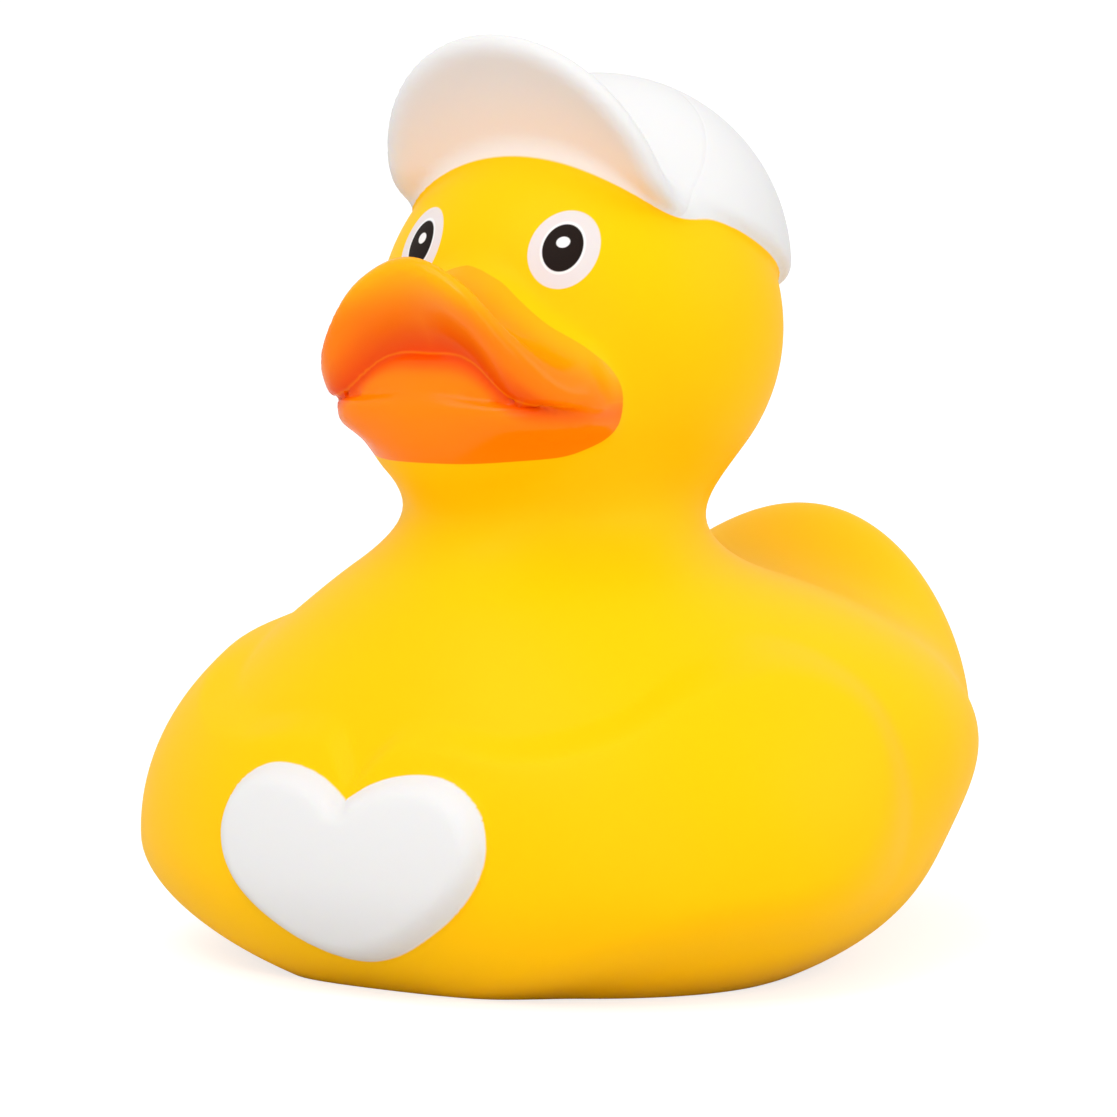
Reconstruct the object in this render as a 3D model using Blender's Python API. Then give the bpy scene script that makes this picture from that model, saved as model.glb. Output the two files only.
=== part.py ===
"""Rubber duck: one hollow vinyl casting, with its peaked cap, bill, wings and the heart on its breast.

Metres. The duck faces -Y, its left side is +X, and the middle of its flat sole is the origin.
Each form is a function that gives the distance of places from its surface, below zero inside.
Forms are joined with smooth blends, and the joined surface is meshed once, as a single skin.
"""
import bmesh
import bpy
import numpy as np
import openvdb

MM = 0.001
TINY = 1e-12

# Hull and back: the middle of each egg and its reach to every side
HULL_Y, HULL_Z = -4.95 * MM, 10.36 * MM
HULL_HALF_WIDTH, HULL_FRONT, HULL_REAR = 34.85 * MM, 25.84 * MM, 29.61 * MM
HULL_BELOW, HULL_ABOVE = 14.9 * MM, 23.64 * MM
BACK_Y, BACK_Z = 13.54 * MM, 18.52 * MM
BACK_HALF_WIDTH, BACK_FRONT, BACK_REAR = 31.86 * MM, 19.09 * MM, 25.39 * MM
BACK_HALF_HEIGHT, BACK_BLEND = 14.02 * MM, 14.0 * MM
# Neck
NECK_Y, NECK_Z, NECK_RADIUS = -3.85 * MM, 24.7 * MM, 15.9 * MM
NECK_HALF_HEIGHT, NECK_BLEND = 14.0 * MM, 10.0 * MM
# Head, and the throat below the bill
HEAD_Y, HEAD_Z, HEAD_RADIUS = 4.5 * MM, 54.6 * MM, 17.85 * MM
HEAD_ABOVE, HEAD_BELOW, HEAD_BLEND = 18.1 * MM, 17.4 * MM, 9.0 * MM
THROAT_Y, THROAT_Z, THROAT_HALF_WIDTH = -8.4 * MM, 47.4 * MM, 10.0 * MM
THROAT_HALF_LENGTH, THROAT_HALF_HEIGHT, THROAT_BLEND = 12.4 * MM, 8.0 * MM, 6.0 * MM
# Tail: an upright egg, leaning back by so many degrees
TAIL_Y, TAIL_Z, TAIL_HALF_WIDTH, TAIL_HALF_THICK = 38.0 * MM, 14.1 * MM, 17.3 * MM, 9.6 * MM
TAIL_ABOVE, TAIL_BELOW, TAIL_LEAN, TAIL_BLEND = 22.6 * MM, 8.5 * MM, 14.0, 15.0 * MM
# Wings: (degrees round the body from straight ahead, height in mm) along the top and bottom edges
WING_TOP = ((0, 18.2), (6, 21.9), (13, 22.4), (26, 21.6), (40, 23.1), (54, 26.5), (70, 28.4), (100, 28.9))
WING_BOTTOM = ((0, -3), (20, -1.4), (26, 0.1), (40, 3.6), (50, 5.8), (70, 7.6), (100, 7.8))
WING_REAR, WING_REAR_SLOPE = 90.0, 0.3 * MM
WING_FRONT_SHARE, WING_FRONT_TURN, WING_BOTTOM_SLOPE = 0.6, 35.0, 0.48
WING_FAN_Y, WING_HEIGHT, WING_SOFT = 2.0 * MM, 1.3 * MM, 2.8 * MM
WING_ROUND, WING_TIP_ROUND = 7.0 * MM, 4.0 * MM
# Heart: its right half seen from the front, from the notch round to the point, in mm
HEART_OUTLINE = ((0, 16.9), (0, 16.9), (1.0, 17.6), (2.4, 18.4), (4.5, 19.1), (7.0, 19.4), (9.3, 19.1),
                 (11.4, 18.0), (12.9, 16.3), (13.6, 13.9), (13.2, 11.4), (11.9, 9.2), (10.1, 7.4),
                 (7.7, 5.7), (5.0, 4.2), (2.4, 3.3), (0, 3.0), (-3, 3.4), (-3, 18.6))
HEART_ROOM_X, HEART_ROOM_Z, HEART_HEIGHT, HEART_ROUND = 17 * MM, 23 * MM, 1.6 * MM, 1.8 * MM
# Bill: seen from above its outline is a rounded box about FAN_Y
FAN_Y, BILL_HALF_WIDTH, BILL_LENGTH, BILL_SQUARENESS = -6.0 * MM, 13.2 * MM, 16.3 * MM, 3.4
# A closed profile at each of these angles from straight ahead: (out, up) in mm, out from the outline
FAN_ANGLES = (0, 20, 35, 50, 65, 80, 95)
BILL_PROFILES = (
    ((-13.0, 60.3), (-13.0, 59.6), (-12.0, 58.2), (-10.0, 56.0), (-8.0, 54.0), (-9.0, 53.0), (-12.0, 53.0)),
    ((-9.9, 60.5), (-10.2, 59.9), (-9.2, 58.4), (-6.4, 56.1), (-3.6, 54.1), (-4.0, 52.6), (-7.0, 52.6)),
    ((-5.3, 58.0), (-5.2, 57.4), (-4.5, 55.6), (-3.4, 53.8), (-2.0, 53.2), (-3.0, 52.2), (-6.0, 52.2)),
    ((-2.6, 60.3), (-2.6, 58.6), (-2.4, 55.2), (-1.9, 53.0), (-1.2, 52.4), (-2.4, 51.7), (-5.4, 51.7)),
    ((-1.0, 61.9), (-1.0, 59.6), (-1.0, 55.3), (-0.9, 52.3), (-0.5, 51.4), (-1.9, 51.1), (-4.9, 51.1)),
    ((0.0, 60.8), (0.0, 58.4), (0.0, 54.0), (0.0, 50.9), (-0.1, 50.4), (-1.5, 50.4), (-4.5, 50.4)),
    ((-1.2, 58.5), (-1.0, 56.2), (-0.5, 52.2), (-0.1, 50.0), (0.0, 49.9), (-1.35, 49.9), (-4.4, 49.9)),
    ((-3.6, 55.3), (-3.0, 54.1), (-1.3, 50.6), (-0.3, 49.6), (0.0, 49.6), (-1.3, 49.6), (-4.3, 49.6)),
    ((-4.0, 53.6), (-3.6, 53.0), (-1.9, 50.0), (-0.5, 49.4), (0.0, 49.4), (-1.3, 49.4), (-4.3, 49.4)),
    ((-3.4, 53.0), (-3.4, 52.6), (-2.3, 50.1), (-1.1, 49.3), (0.0, 49.2), (-1.3, 49.2), (-4.3, 49.2)),
    ((-2.8, 50.9), (-2.8, 50.8), (-2.3, 49.9), (-1.2, 49.2), (0.0, 49.1), (-1.3, 49.1), (-4.3, 49.1)),
    ((-3.1, 50.0), (-3.1, 49.9), (-2.5, 49.6), (-1.3, 49.1), (0.0, 49.0), (-1.3, 49.0), (-4.3, 49.0)),
    ((-2.5, 49.8), (-2.5, 49.7), (-2.1, 49.5), (-1.2, 49.0), (-0.1, 48.9), (-1.3, 48.9), (-4.3, 48.9)),
    ((-1.8, 49.0), (-1.8, 49.0), (-1.6, 48.9), (-1.1, 48.6), (-0.5, 48.6), (-1.4, 48.6), (-4.4, 48.6)),
    ((-2.2, 47.3), (-2.3, 47.2), (-2.0, 47.3), (-1.5, 47.2), (-0.9, 47.4), (-1.8, 47.4), (-4.8, 47.4)),
    ((-3.4, 45.5), (-3.8, 45.7), (-3.8, 46.0), (-3.4, 46.2), (-2.6, 46.6), (-3.2, 46.6), (-6.0, 46.6)),
    ((-7.0, 44.0), (-8.0, 44.2), (-8.0, 44.6), (-8.0, 45.0), (-7.0, 45.6), (-7.0, 45.8), (-9.0, 45.8)),
)
PROFILE_STEPS = 4
BILL_ROOM = (15 * MM, -25 * MM, -2 * MM, 40 * MM, 66 * MM)
# Outline of the orange paint, round the head: (degrees from straight ahead, height in mm)
BILL_PAINT = ((-25, 59.7), (0, 60.8), (25, 59.7), (37, 58.2), (50, 56.1), (62, 54.6), (69, 53.5), (75, 52.4),
              (79.6, 50.9), (81, 49.3), (80.6, 47.5), (76, 46.2), (68, 45.4), (56, 44.8), (36, 44.6),
              (18, 44.4), (0, 44.4), (-25, 44.4))
# Cap: a round crown cut off along a sloping edge, and a dished sheet turned up in front of it
CROWN_Y, CROWN_Z, CROWN_RADIUS, CROWN_FRONT = 7.1 * MM, 59.8 * MM, 17.15 * MM, 15.1 * MM
CAP_EDGE_Z, CAP_EDGE_SLOPE, CAP_EDGE_ROUND = 66.15 * MM, 0.43, 1.2 * MM
VISOR_Y, VISOR_Z, VISOR_TILT = -4.4 * MM, 70.4 * MM, 62.0
VISOR_FOOT, VISOR_HALF_WIDTH, VISOR_REACH = -4.0 * MM, 14.4 * MM, 15.4 * MM
VISOR_THICK, VISOR_ROUND, VISOR_DISH, VISOR_ARCH = 2.6 * MM, 2.2 * MM, 1.4 * MM, 110.0 * MM
VISOR_CURL_FROM, VISOR_CURL_RADIUS, VISOR_SINK, VISOR_DISH_TO = -1.0 * MM, 6.7 * MM, 9.0 * MM, 1.2
# Joins: widths of the soft folds
BILL_BLEND, CAP_BLEND, VISOR_BLEND = 2.0 * MM, 1.2 * MM, 1.6 * MM
# The orange's reach: mm for each degree of its outline, how far it spills past the bill, and how far back
PAINT_SCALE, PAINT_OVERLAP, PAINT_BACK_Y = 0.2 * MM, 0.2 * MM, -2.0 * MM
FAR, NEARLY, BLOCK = 9 * MM, 3 * MM, 20000
# Eyes
EYE_Y = -9.7 * MM
EYE_X, EYE_Z, EYE_SHIFT, EYE_LEAN = 7.25 * MM, 62.2 * MM, 0.4 * MM, 0.1
RING_HALF_WIDTH, RING_HALF_HEIGHT = 3.02 * MM, 3.7 * MM
PUPIL_HALF_WIDTH, PUPIL_HALF_HEIGHT, PUPIL_UP = 1.72 * MM, 2.25 * MM, 0.17 * MM

# Mesh
CELL = 0.6 * MM
GRID_LOW, GRID_HIGH = (-3 * MM, -36 * MM, -4 * MM), (42 * MM, 51 * MM, 84 * MM)
BLOCKS = 16
OUTSIDE = 5.0
SETTLE_ROUNDS, SLOPE_STEP, LEAST_SLOPE, LONGEST_MOVE = 3, 0.05 * MM, 0.1, 0.3 * MM
HALF_FACES = 8000
SNAP, SOLE_SNAP, MERGE = 0.2 * MM, 0.06 * MM, 0.001 * MM
SOLE_RIM_ANGLE = np.radians(50)

# Paints: name, colour, roughness
PAINTS = (
    ("yellow_vinyl", (1.0, 0.66, 0.012), 0.5),
    ("orange_paint", (1.0, 0.25, 0.008), 0.35),
    ("white_paint", (0.86, 0.84, 0.82), 0.5),
    ("black_paint", (0.02, 0.013, 0.01), 0.4),
)
SKIN_DEPTH = 0.15 * MM


def egg(p, centre, low, high=None):
    """Near distance to an ellipsoid; low and high are the radii on the - and + side of each axis."""
    offset = p - np.array(centre)
    radii = np.array(low) if high is None else np.where(offset > 0, np.array(high), np.array(low))
    scaled = offset / radii
    reach = np.linalg.norm(scaled, axis=1)
    return reach * (reach - 1) / np.maximum(np.linalg.norm(scaled / radii, axis=1), TINY)


def union(a, b, blend):
    """Both forms, with a soft fold of this width where they meet."""
    near = np.maximum(blend - np.abs(a - b), 0)
    return np.minimum(a, b) - near * near / (4 * blend)


def common(a, b, blend):
    """What lies in both forms, with its edge rounded."""
    return -union(-a, -b, blend)


def turned(y, z, centre_y, centre_z, degrees):
    """(along, across): the Y and Z offsets turned about the X axis."""
    angle = np.radians(degrees)
    f, h = y - centre_y, z - centre_z
    return f * np.cos(angle) + h * np.sin(angle), -f * np.sin(angle) + h * np.cos(angle)


def smoothstep(t):
    t = np.clip(t, 0, 1)
    return t * t * (3 - 2 * t)


def curve(points, at, level_start=False):
    """Height at each place of the smooth curve through (place, height) points."""
    xs, ys = np.array(points, float).T
    slopes = np.gradient(ys, xs)
    slopes[0] *= not level_start
    i = np.clip(np.searchsorted(xs, at) - 1, 0, len(xs) - 2)
    h = xs[i + 1] - xs[i]
    t = np.clip((at - xs[i]) / h, 0, 1)
    return ((1 + 2 * t) * (1 - t) ** 2 * ys[i] + t * (1 - t) ** 2 * h * slopes[i]
            + t * t * (3 - 2 * t) * ys[i + 1] - t * t * (1 - t) * h * slopes[i + 1])


def wing_edge(p):
    """Near distance to the wing's outline, measured on the flank: below zero on the wing."""
    x, y, z = p.T
    turn = np.degrees(np.arctan2(np.abs(x), WING_FAN_Y - y))
    top = z - curve(WING_TOP, turn) * MM
    bottom = (curve(WING_BOTTOM, turn) * MM - z) * WING_BOTTOM_SLOPE
    rear = (turn - WING_REAR) * WING_REAR_SLOPE
    return common(common(top, bottom, WING_TIP_ROUND), rear, WING_ROUND)


def body(p):
    """Hull and back, with the wings raised on them."""
    hull = egg(p, (0, HULL_Y, HULL_Z), (HULL_HALF_WIDTH, HULL_FRONT, HULL_BELOW),
               (HULL_HALF_WIDTH, HULL_REAR, HULL_ABOVE))
    back = egg(p, (0, BACK_Y, BACK_Z), (BACK_HALF_WIDTH, BACK_FRONT, BACK_HALF_HEIGHT),
               (BACK_HALF_WIDTH, BACK_REAR, BACK_HALF_HEIGHT))
    whole = union(hull, back, BACK_BLEND)
    turn = np.degrees(np.arctan2(np.abs(p[:, 0]), WING_FAN_Y - p[:, 1]))
    rise = WING_FRONT_SHARE + (1 - WING_FRONT_SHARE) * smoothstep(turn / WING_FRONT_TURN)
    wing = WING_HEIGHT * rise * smoothstep(0.5 - wing_edge(p) / WING_SOFT)
    return whole - wing


def neck(p):
    return egg(p, (0, NECK_Y, NECK_Z), (NECK_RADIUS, NECK_RADIUS, NECK_HALF_HEIGHT))


def head(p):
    ball = egg(p, (0, HEAD_Y, HEAD_Z), (HEAD_RADIUS, HEAD_RADIUS, HEAD_BELOW),
               (HEAD_RADIUS, HEAD_RADIUS, HEAD_ABOVE))
    throat = egg(p, (0, THROAT_Y, THROAT_Z), (THROAT_HALF_WIDTH, THROAT_HALF_LENGTH, THROAT_HALF_HEIGHT))
    return union(ball, throat, THROAT_BLEND)


def tail(p):
    x, y, z = p.T
    up, out = turned(z, y, TAIL_Z, TAIL_Y, TAIL_LEAN)
    return egg(np.stack([x, out, up], axis=1), (0, 0, 0), (TAIL_HALF_WIDTH, TAIL_HALF_THICK, TAIL_BELOW),
               (TAIL_HALF_WIDTH, TAIL_HALF_THICK, TAIL_ABOVE))


def flesh(p):
    """The duck without its heart, bill and cap."""
    torso = union(body(p), neck(p), NECK_BLEND)
    return union(union(torso, head(p), HEAD_BLEND), tail(p), TAIL_BLEND)


def spline_weights(corners):
    """Weights that turn a closed ring of corners into points along the smooth curve through them."""
    rows = []
    for corner in range(corners):
        for t in np.arange(PROFILE_STEPS) / PROFILE_STEPS:
            row = np.zeros(corners)
            for shift, weight in ((-1, -t + 2 * t * t - t ** 3), (0, 2 - 5 * t * t + 3 * t ** 3),
                                  (1, t + 4 * t * t - 3 * t ** 3), (2, t ** 3 - t * t)):
                row[(corner + shift) % corners] += weight / 2
            rows.append(row)
    return np.array(rows)


def ring_distance(across, up, ring):
    """Distance from each place to its own closed ring of points, below zero inside."""
    start_x, start_y = ring[..., 0], ring[..., 1]
    end_x, end_y = np.roll(start_x, -1, axis=-1), np.roll(start_y, -1, axis=-1)
    run, rise = end_x - start_x, end_y - start_y
    dx, dy = across[:, None] - start_x, up[:, None] - start_y
    t = np.clip((dx * run + dy * rise) / np.maximum(run ** 2 + rise ** 2, TINY), 0, 1)
    nearest = np.hypot(dx - t * run, dy - t * rise).min(axis=1)
    spans = (start_y > up[:, None]) != (end_y > up[:, None])
    crossed = spans & (dx * rise * np.sign(rise) < dy * run * np.sign(rise))
    return np.where(crossed.sum(axis=1) % 2 == 1, -nearest, nearest)


def smooth_ring(corners):
    """Points along the smooth closed curve through the corners."""
    return spline_weights(len(corners)) @ np.array(corners, float)


def heart_edge(p):
    """Distance outside the heart's outline, seen from the front."""
    x, y, z = np.abs(p[:, 0]), p[:, 1], p[:, 2]
    distance = np.full(len(p), HEART_ROOM_X)
    near = np.nonzero((x < HEART_ROOM_X) & (z < HEART_ROOM_Z) & (y < HULL_Y))[0]
    distance[near] = ring_distance(x[near], z[near], smooth_ring(HEART_OUTLINE)[None] * MM)
    return distance


def heart_relief(p):
    inside = np.clip(-heart_edge(p) / HEART_ROUND, 0, 1)
    return HEART_HEIGHT * inside * (2 - inside)


def fan(p):
    """(degrees round from straight ahead, distance outside the bill's outline seen from above)."""
    x, ahead = np.abs(p[:, 0]), FAN_Y - p[:, 1]
    reach = (x / BILL_HALF_WIDTH) ** BILL_SQUARENESS + (np.abs(ahead) / BILL_LENGTH) ** BILL_SQUARENESS
    outline = np.hypot(x, ahead) * np.maximum(reach, TINY) ** (-1 / BILL_SQUARENESS)
    return np.degrees(np.arctan2(x, ahead)), np.hypot(x, ahead) - outline


def along_fan(row, k, turn):
    """One row of the profiles, out (k = 0) or up (k = 1), at any angle of the fan."""
    return curve([(angle, corner[k]) for angle, corner in zip(FAN_ANGLES, row)], turn, True)


def bill(p):
    """Distance outside the bill; further off than its room, only how far that room is."""
    half_width, front, rear, low, high = BILL_ROOM
    x, y, z = p.T
    beyond = np.max([np.abs(x) - half_width, front - y, y - rear, low - z, z - high], axis=0)
    distance = np.maximum(beyond, 0) + NEARLY
    near = np.nonzero(beyond < 0)[0]
    weights = spline_weights(len(BILL_PROFILES))
    for part in np.array_split(near, len(near) // BLOCK + 1):
        turn, out = fan(p[part])
        corners = np.array([[along_fan(row, k, turn) for k in (0, 1)] for row in BILL_PROFILES])
        ring = np.einsum("mk,kcn->nmc", weights, corners) * MM
        distance[part] = ring_distance(out, z[part], ring)
    return distance


def paint_border(p):
    """Distance outside the outline of the orange paint, measured round the head."""
    turn, _ = fan(p)
    border = smooth_ring(BILL_PAINT) * (PAINT_SCALE, MM)
    return ring_distance(turn * PAINT_SCALE, p[:, 2], border[None])


def bill_paint(p):
    """Distance outside the orange paint, which covers the whole of the bill."""
    on_bill = np.minimum(paint_border(p), bill(p) - PAINT_OVERLAP)
    return np.where(p[:, 1] < PAINT_BACK_Y, on_bill, FAR)


def crown(p):
    """The round of the cap, above its sloping lower edge."""
    ball = egg(p, (0, CROWN_Y, CROWN_Z), (CROWN_RADIUS, CROWN_FRONT, CROWN_RADIUS),
               (CROWN_RADIUS, CROWN_RADIUS, CROWN_RADIUS))
    x, y, z = p.T
    below = (CAP_EDGE_Z - CAP_EDGE_SLOPE * y - z) / np.hypot(1, CAP_EDGE_SLOPE)
    return common(ball, below, CAP_EDGE_ROUND)


def visor(p):
    """The peak: a dished sheet with a round rim, curling back along the cap's lower edge at its foot."""
    x, y, z = p.T
    along, across = turned(-y, z, -VISOR_Y, VISOR_Z, VISOR_TILT)
    reach = np.hypot(x / VISOR_HALF_WIDTH, np.maximum(along - VISOR_FOOT, 0) / VISOR_REACH)
    middle = VISOR_THICK / 2 - x ** 2 / (2 * VISOR_ARCH) - VISOR_DISH * np.minimum(reach, VISOR_DISH_TO) ** 4
    middle = middle + np.minimum(along - VISOR_CURL_FROM, 0) ** 2 / (2 * VISOR_CURL_RADIUS)
    sheet = np.abs(across - middle) - VISOR_THICK / 2
    outline = np.maximum((reach - 1) * VISOR_HALF_WIDTH, -along - VISOR_SINK)
    return common(sheet, outline, VISOR_ROUND)


def cap(p):
    return union(crown(p), visor(p), VISOR_BLEND)


def bare(p):
    """The duck without its cap."""
    return union(flesh(p) - heart_relief(p), bill(p), BILL_BLEND)


def duck(p):
    return union(bare(p), cap(p), CAP_BLEND)


def eye_places(p):
    """(across, up) from the middle of the nearer eye over the head's curve; both sit a bit to one side."""
    up = (p[:, 2] - EYE_Z) * np.hypot(1, (EYE_Z - HEAD_Z) / (HEAD_Y - EYE_Y))
    across = (np.abs(p[:, 0] - EYE_SHIFT) - EYE_X) * np.hypot(1, EYE_X / (HEAD_Y - EYE_Y))
    return across + EYE_LEAN * up, up


# The skin


def skin_quads(low, high):
    """Points and four-sided faces of the duck's surface, from its distances on a grid."""
    axes = [np.arange(a, b, CELL) for a, b in zip(low, high)]
    places = np.stack(np.meshgrid(*axes, indexing="ij"), axis=-1).reshape(-1, 3)
    distances = np.concatenate([duck(block) for block in np.array_split(places, BLOCKS)])
    grid = openvdb.FloatGrid(OUTSIDE)
    grid.copyFromArray((distances.reshape([len(axis) for axis in axes]) / CELL).astype(np.float32))
    points, quads = grid.convertToQuads(0.0)
    return low + points * CELL, quads


def settled(points):
    """The points moved onto the duck's surface, each along its own slope."""
    steps = SLOPE_STEP * np.eye(3)
    for _ in range(SETTLE_ROUNDS):
        slope = np.stack([duck(points + s) - duck(points - s) for s in steps], axis=1) / (2 * SLOPE_STEP)
        move = duck(points) / np.maximum((slope ** 2).sum(axis=1), LEAST_SLOPE)
        points = points - np.clip(move, -LONGEST_MOVE, LONGEST_MOVE)[:, None] * slope
    return points


def points_of(mesh):
    flat = np.empty(len(mesh.vertices) * 3)
    mesh.vertices.foreach_get("co", flat)
    return flat.reshape(-1, 3)


def half_skin():
    """The duck's left half as a light mesh, reaching a little past the middle and below the sole."""
    points, quads = skin_quads(np.array(GRID_LOW), np.array(GRID_HIGH))
    dense = bpy.data.meshes.new("dense")
    dense.from_pydata(settled(points).tolist(), [], quads[:, ::-1].tolist())
    obj = bpy.data.objects.new("dense", dense)
    bpy.context.scene.collection.objects.link(obj)
    thinned = obj.modifiers.new("thinned", "DECIMATE")
    thinned.ratio = HALF_FACES / (2 * len(quads))
    light = bpy.data.meshes.new_from_object(obj.evaluated_get(bpy.context.evaluated_depsgraph_get()))
    bpy.data.objects.remove(obj)
    return light


def snapped(points):
    """Settles the points, and lays those near the mirror plane or the sole plane exactly on it."""
    points = settled(points)
    points[np.abs(points[:, 0]) < SNAP, 0] = 0
    points[np.abs(points[:, 2]) < SOLE_SNAP, 2] = 0
    return points


def cut(skin, normal):
    """Cuts away what lies behind the plane through the origin."""
    bmesh.ops.bisect_plane(skin, geom=skin.verts[:] + skin.edges[:] + skin.faces[:], dist=MERGE,
                           plane_co=(0, 0, 0), plane_no=normal, clear_inner=True)


def whole_mesh():
    light = half_skin()
    light.vertices.foreach_set("co", snapped(points_of(light)).ravel())
    skin = bmesh.new()
    skin.from_mesh(light)
    cut(skin, (1, 0, 0))
    cut(skin, (0, 0, 1))
    everything = skin.verts[:] + skin.edges[:] + skin.faces[:]
    bmesh.ops.mirror(skin, geom=everything, axis="X", merge_dist=MERGE)
    rim = [edge for edge in skin.edges if edge.is_boundary]
    bmesh.ops.contextual_create(skin, geom=rim)
    bmesh.ops.triangulate(skin, faces=skin.faces[:])
    bmesh.ops.recalc_face_normals(skin, faces=skin.faces[:])
    mesh = bpy.data.meshes.new("duck")
    skin.to_mesh(mesh)
    skin.free()
    return mesh


# Paint


def paint(name, colour, roughness):
    material = bpy.data.materials.new(name)
    material.use_nodes = True
    shader = material.node_tree.nodes["Principled BSDF"]
    shader.inputs["Base Color"].default_value = (*colour, 1)
    shader.inputs["Roughness"].default_value = roughness
    shader.inputs["Metallic"].default_value = 0
    material.diffuse_color = (*colour, 1)
    return material


def paint_at(p):
    """Index of the paint at each place, in the order of PAINTS."""
    ahead = p[:, 1] < HULL_Y
    across, up = eye_places(p)
    index = np.zeros(len(p), int)
    index[bill_paint(p) < 0] = 1
    index[(cap(p) < SKIN_DEPTH) | (heart_edge(p) < 0)] = 2
    index[ahead & (np.hypot(across / RING_HALF_WIDTH, up / RING_HALF_HEIGHT) < 1)] = 2
    index[ahead & (np.hypot(across / PUPIL_HALF_WIDTH, (up - PUPIL_UP) / PUPIL_HALF_HEIGHT) < 1)] = 3
    return index


def build():
    for obj in list(bpy.data.objects):
        bpy.data.objects.remove(obj)
    mesh = whole_mesh()
    for name, colour, roughness in PAINTS:
        mesh.materials.append(paint(name, colour, roughness))
    points = points_of(mesh)
    corners = np.array([face.vertices[:] for face in mesh.polygons])
    mesh.polygons.foreach_set("material_index", paint_at(points[corners].mean(axis=1)))
    mesh.shade_smooth()
    mesh.set_sharp_from_angle(angle=SOLE_RIM_ANGLE)
    collection = bpy.data.collections.new("rubber_duck")
    bpy.context.scene.collection.children.link(collection)
    collection.objects.link(bpy.data.objects.new("duck", mesh))


build()
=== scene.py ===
"""Rubber duck: the looks. The duck's own forms are meshed finely and given their vinyl and paint.

Metres. The duck faces -Y, its left side is +X, and the middle of its flat sole is the origin.
"""
import math

import bmesh
import bpy
import numpy as np
import openvdb
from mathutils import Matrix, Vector


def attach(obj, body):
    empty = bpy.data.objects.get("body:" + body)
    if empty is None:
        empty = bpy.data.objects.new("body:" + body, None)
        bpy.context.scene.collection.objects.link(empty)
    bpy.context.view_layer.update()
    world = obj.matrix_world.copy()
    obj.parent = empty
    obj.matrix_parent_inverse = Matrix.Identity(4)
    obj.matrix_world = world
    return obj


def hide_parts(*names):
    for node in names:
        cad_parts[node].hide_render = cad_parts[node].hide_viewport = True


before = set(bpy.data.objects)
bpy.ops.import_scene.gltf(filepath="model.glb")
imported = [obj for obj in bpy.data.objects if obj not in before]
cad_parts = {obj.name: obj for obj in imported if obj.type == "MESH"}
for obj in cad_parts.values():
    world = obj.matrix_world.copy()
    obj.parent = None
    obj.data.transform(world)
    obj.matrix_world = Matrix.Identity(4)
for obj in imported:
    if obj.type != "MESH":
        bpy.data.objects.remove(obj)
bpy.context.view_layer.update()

MM = 0.001
# Keeps a division from nought
TINY = 1e-12

# Hull and back: the middle of each egg and its reach to every side
HULL_Y, HULL_Z = -4.95 * MM, 10.36 * MM
HULL_HALF_WIDTH, HULL_FRONT, HULL_REAR = 34.85 * MM, 25.84 * MM, 29.61 * MM
HULL_BELOW, HULL_ABOVE = 14.9 * MM, 23.64 * MM
BACK_Y, BACK_Z = 13.54 * MM, 18.52 * MM
BACK_HALF_WIDTH, BACK_FRONT, BACK_REAR = 31.86 * MM, 19.09 * MM, 25.39 * MM
BACK_HALF_HEIGHT, BACK_BLEND = 14.02 * MM, 14.0 * MM
# Neck
NECK_Y, NECK_Z, NECK_RADIUS = -3.85 * MM, 24.7 * MM, 15.9 * MM
NECK_HALF_HEIGHT, NECK_BLEND = 14.0 * MM, 10.0 * MM
# Head, and the throat below the bill
HEAD_Y, HEAD_Z, HEAD_RADIUS = 4.5 * MM, 54.6 * MM, 17.85 * MM
HEAD_ABOVE, HEAD_BELOW, HEAD_BLEND = 18.1 * MM, 17.4 * MM, 9.0 * MM
THROAT_Y, THROAT_Z, THROAT_HALF_WIDTH = -8.4 * MM, 47.4 * MM, 10.0 * MM
THROAT_HALF_LENGTH, THROAT_HALF_HEIGHT, THROAT_BLEND = 12.4 * MM, 8.0 * MM, 6.0 * MM
# Tail: an upright egg, leaning back by so many degrees
TAIL_Y, TAIL_Z, TAIL_HALF_WIDTH, TAIL_HALF_THICK = 38.0 * MM, 14.1 * MM, 17.3 * MM, 9.6 * MM
TAIL_ABOVE, TAIL_BELOW, TAIL_LEAN, TAIL_BLEND = 22.6 * MM, 8.5 * MM, 14.0, 15.0 * MM
# Wings: (degrees round the body from straight ahead, height in mm) along the top and bottom edges
WING_TOP = ((0, 18.2), (6, 21.9), (13, 22.4), (26, 21.6), (40, 23.1), (54, 26.5), (70, 28.4), (100, 28.9))
WING_BOTTOM = ((0, -3), (20, -1.4), (26, 0.1), (40, 3.6), (50, 5.8), (70, 7.6), (100, 7.8))
WING_REAR, WING_REAR_SLOPE = 90.0, 0.3 * MM
WING_FRONT_SHARE, WING_FRONT_TURN, WING_BOTTOM_SLOPE = 0.6, 35.0, 0.48
WING_FAN_Y, WING_HEIGHT, WING_SOFT = 2.0 * MM, 1.3 * MM, 2.8 * MM
WING_ROUND, WING_TIP_ROUND = 7.0 * MM, 4.0 * MM
# Heart: its right half seen from the front, from the notch round to the point, in mm
HEART_OUTLINE = ((0, 16.9), (0, 16.9), (1.0, 17.6), (2.4, 18.4), (4.5, 19.1), (7.0, 19.4), (9.3, 19.1),
                 (11.4, 18.0), (12.9, 16.3), (13.6, 13.9), (13.2, 11.4), (11.9, 9.2), (10.1, 7.4),
                 (7.7, 5.7), (5.0, 4.2), (2.4, 3.3), (0, 3.0), (-3, 3.4), (-3, 18.6))
HEART_ROOM_X, HEART_ROOM_Z, HEART_HEIGHT, HEART_ROUND = 17 * MM, 23 * MM, 1.6 * MM, 1.8 * MM
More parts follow.
